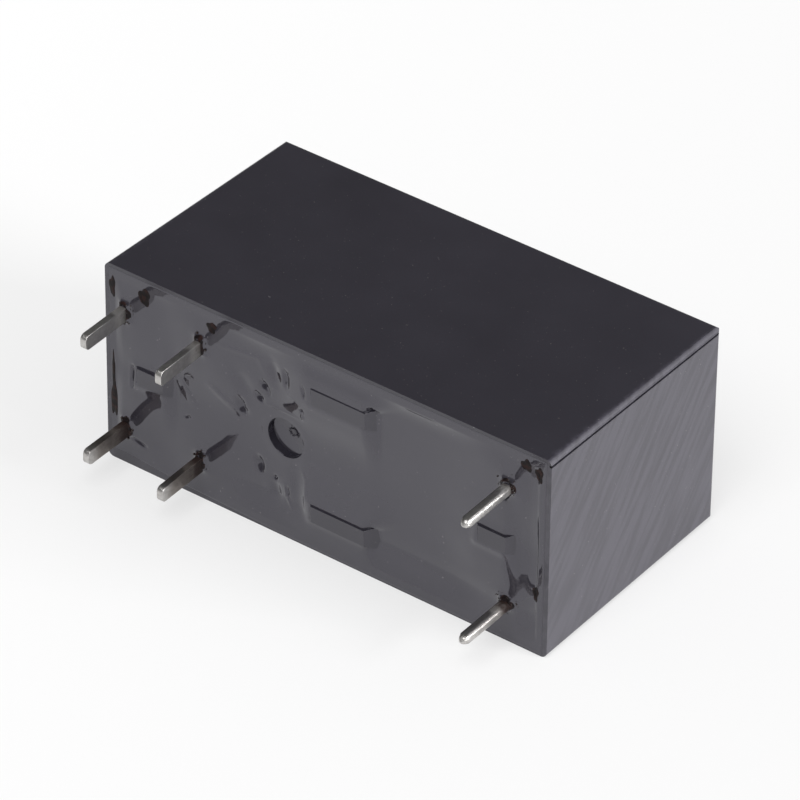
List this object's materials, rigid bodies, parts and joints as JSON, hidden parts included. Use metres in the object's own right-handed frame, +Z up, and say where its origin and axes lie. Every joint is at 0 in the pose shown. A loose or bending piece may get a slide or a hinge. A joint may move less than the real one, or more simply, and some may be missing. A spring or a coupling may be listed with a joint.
{
  "type": "power relay",
  "caption": "Sealed black relay for a circuit board: plastic cover, resin-filled base and solder pins over a coil, rocking armature, slider and contact pair.",
  "frame": {"origin": "middle of the pin footprint's body outline, on the plane where the standoffs meet the board", "axes": "+X towards the coil pins, -Y out of the base along the pins into the board, +Z up as the relay lies on its long side"},
  "size_m": [0.029, 0.0191, 0.0126],
  "materials": {
    "cover_plastic": "black glass-filled moulding, satin with a fine grain",
    "base_plastic": "black moulding, seen only at the standoffs and the vent well",
    "epoxy": "black cast epoxy, glossy and slightly wavy",
    "bobbin_plastic": "pale moulding",
    "copper_wire": "enamelled copper",
    "soft_iron": "plated soft iron",
    "spring_bronze": "thin rolled bronze",
    "card_plastic": "pale moulding",
    "spring_copper": "rolled copper alloy",
    "silver_alloy": "silver alloy, dull",
    "tinned_copper": "tinned sheet, soft grey",
    "rivet_brass": "brass",
    "tinned_wire": "tinned wire, soft grey"
  },
  "bodies": {
    "housing": {"cover": "cover_plastic", "base_plate": "base_plastic", "sealing_resin": "epoxy", "bobbin": "bobbin_plastic", "coil_winding": "copper_wire", "core": "soft_iron", "yoke": "soft_iron", "hinge_spring": "spring_bronze", "common_terminal": "tinned_copper", "spring_rivets": "rivet_brass", "fixed_terminal": "tinned_copper", "fixed_contact": "silver_alloy", "coil_pin_a": "tinned_wire", "coil_pin_b": "tinned_wire"},
    "armature": {"armature": "soft_iron"},
    "card": {"actuator_card": "card_plastic"},
    "contact_arm": {"contact_spring": "spring_copper", "moving_contact": "silver_alloy"}
  },
  "joints": [
    {"name": "armature_rock", "type": "hinge", "parent": "housing", "child": "armature", "pos_m": [0.0116, 0.00395, 0], "axis": [0, 0, 1], "range_deg": [0, 4.55]},
    {"name": "card_slide", "type": "slide", "parent": "housing", "child": "card", "axis": [-1, 0, 0], "range_m": [0, 0.0007]},
    {"name": "contact_swing", "type": "hinge", "parent": "housing", "child": "contact_arm", "pos_m": [-0.00785, 0.0053, 0], "axis": [0, 0, 1], "range_deg": [0, 5.37], "stiffness_Nm_per_rad": 0.02, "springref_deg": -2.86}
  ],
  "couplings": [
    {"joint": "card_slide", "follows": "armature_rock", "m_per_rad": 0.008818},
    {"joint": "contact_swing", "follows": "armature_rock", "ratio": 1.18}
  ]
}
